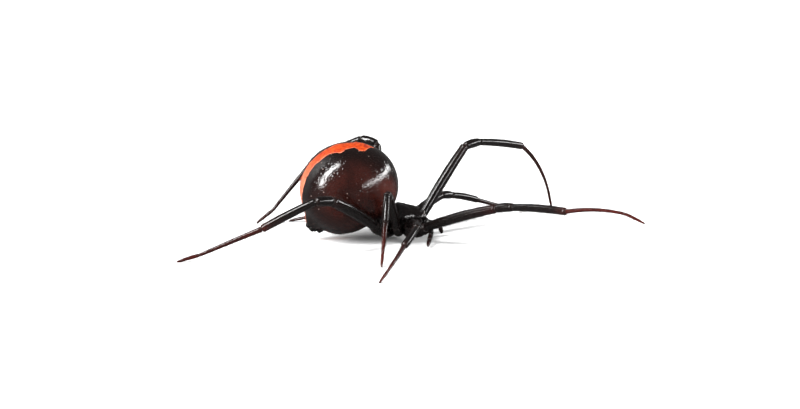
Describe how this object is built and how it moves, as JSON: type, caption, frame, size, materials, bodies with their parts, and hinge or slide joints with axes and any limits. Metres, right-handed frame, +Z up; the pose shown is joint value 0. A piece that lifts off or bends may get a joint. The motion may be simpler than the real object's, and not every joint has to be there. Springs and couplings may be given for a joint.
{
  "type": "redback spider",
  "caption": "Life-size still model of a female redback spider standing on long legs, with a globe-shaped abdomen carrying a red back stripe.",
  "frame": {"origin": "middle of the floor area under the spider, at the level of its feet", "axes": "+Z up, +X the way the spider heads, +Y to the spider's left"},
  "size_m": [0.0399, 0.0311, 0.0091],
  "materials": {
    "abdomen_skin": "glossy dark maroon to black skin with an orange-red back stripe",
    "black_shell": "glossy black shell with fine short hairs",
    "brown_shell": "satin reddish-brown shell with short bristles",
    "soft_membrane": "matte brown skin at the joints",
    "eye": "clear glossy black"
  },
  "bodies": {
    "root": {"abdomen": "abdomen_skin", "cephalothorax": "black_shell", "chelicera_left": "black_shell", "chelicera_right": "black_shell", "leg1_left_coxa": "black_shell", "leg1_left_femur": "black_shell", "leg1_left_metatarsus": "brown_shell", "leg1_left_patella": "black_shell", "leg1_left_tarsus": "brown_shell", "leg1_left_tibia": "black_shell", "leg1_right_coxa": "black_shell", "leg1_right_femur": "black_shell", "leg1_right_metatarsus": "brown_shell", "leg1_right_patella": "black_shell", "leg1_right_tarsus": "brown_shell", "leg1_right_tibia": "black_shell", "leg2_left_coxa": "black_shell", "leg2_left_femur": "black_shell", "leg2_left_metatarsus": "brown_shell", "leg2_left_patella": "black_shell", "leg2_left_tarsus": "brown_shell", "leg2_left_tibia": "black_shell", "leg2_right_coxa": "black_shell", "leg2_right_femur": "black_shell", "leg2_right_metatarsus": "brown_shell", "leg2_right_patella": "black_shell", "leg2_right_tarsus": "brown_shell", "leg2_right_tibia": "black_shell", "leg3_left_coxa": "black_shell", "leg3_left_femur": "black_shell", "leg3_left_metatarsus": "brown_shell", "leg3_left_patella": "black_shell", "leg3_left_tarsus": "brown_shell", "leg3_left_tibia": "black_shell", "leg3_right_coxa": "black_shell", "leg3_right_femur": "black_shell", "leg3_right_metatarsus": "brown_shell", "leg3_right_patella": "black_shell", "leg3_right_tarsus": "brown_shell", "leg3_right_tibia": "black_shell", "leg4_left_coxa": "black_shell", "leg4_left_femur": "black_shell", "leg4_left_metatarsus": "brown_shell", "leg4_left_patella": "black_shell", "leg4_left_tarsus": "brown_shell", "leg4_left_tibia": "black_shell", "leg4_right_coxa": "black_shell", "leg4_right_femur": "black_shell", "leg4_right_metatarsus": "brown_shell", "leg4_right_patella": "black_shell", "leg4_right_tarsus": "brown_shell", "leg4_right_tibia": "black_shell", "palp_left_base": "black_shell", "palp_left_end": "brown_shell", "palp_right_base": "black_shell", "palp_right_end": "brown_shell", "pedicel": "soft_membrane"}
  },
  "joints": []
}
